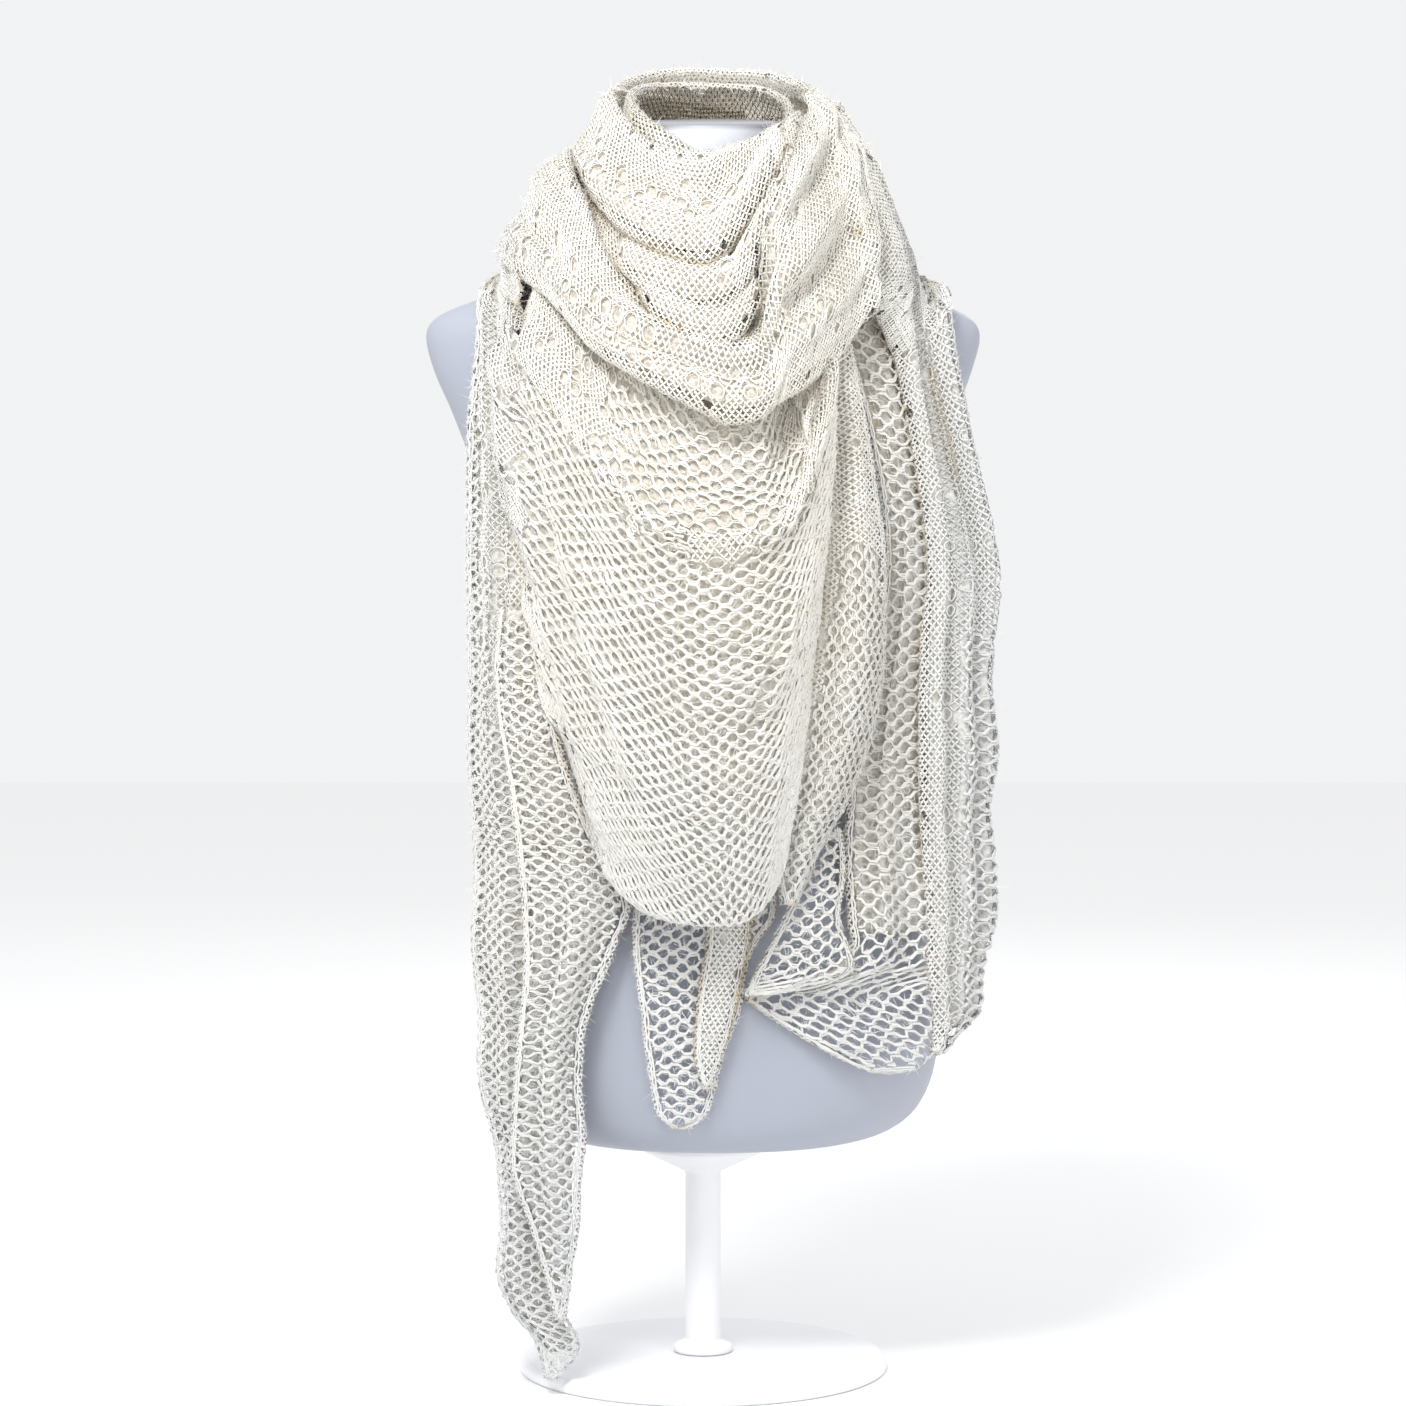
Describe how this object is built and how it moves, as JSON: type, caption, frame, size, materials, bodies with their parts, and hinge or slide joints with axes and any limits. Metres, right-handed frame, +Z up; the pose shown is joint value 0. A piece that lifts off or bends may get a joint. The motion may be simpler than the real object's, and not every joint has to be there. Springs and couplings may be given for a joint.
{
  "type": "lace shawl on a dress form",
  "caption": "Open knitted shawl wound round the neck of a plain limbless torso form, with a deep front drape and long free ends, on a pole and round base.",
  "frame": {"origin": "centre of the stand base's underside", "axes": "+Z up, -Y to the front of the form, +X to the viewer's right"},
  "size_m": [0.4112, 0.3142, 0.9556],
  "materials": {
    "wool": "fluffy, matte",
    "form_plastic": "satin",
    "stand_paint": "satin"
  },
  "bodies": {
    "root": {"back_lower": "wool", "back_upper": "wool", "centre_tail": "wool", "centre_tail_fold": "wool", "chest_fold": "wool", "collar_fold": "wool", "front_pouch": "wool", "left_fall": "wool", "left_tail": "wool", "nape_inner": "wool", "nape_outer": "wool", "pouch_border": "wool", "right_flap": "wool", "right_inner_fall": "wool", "right_outer_fall": "wool", "second_cowl": "wool", "third_cowl": "wool", "throat_cowl": "wool", "form_torso": "form_plastic", "stand_pole": "stand_paint", "stand_base": "stand_paint"}
  },
  "joints": []
}
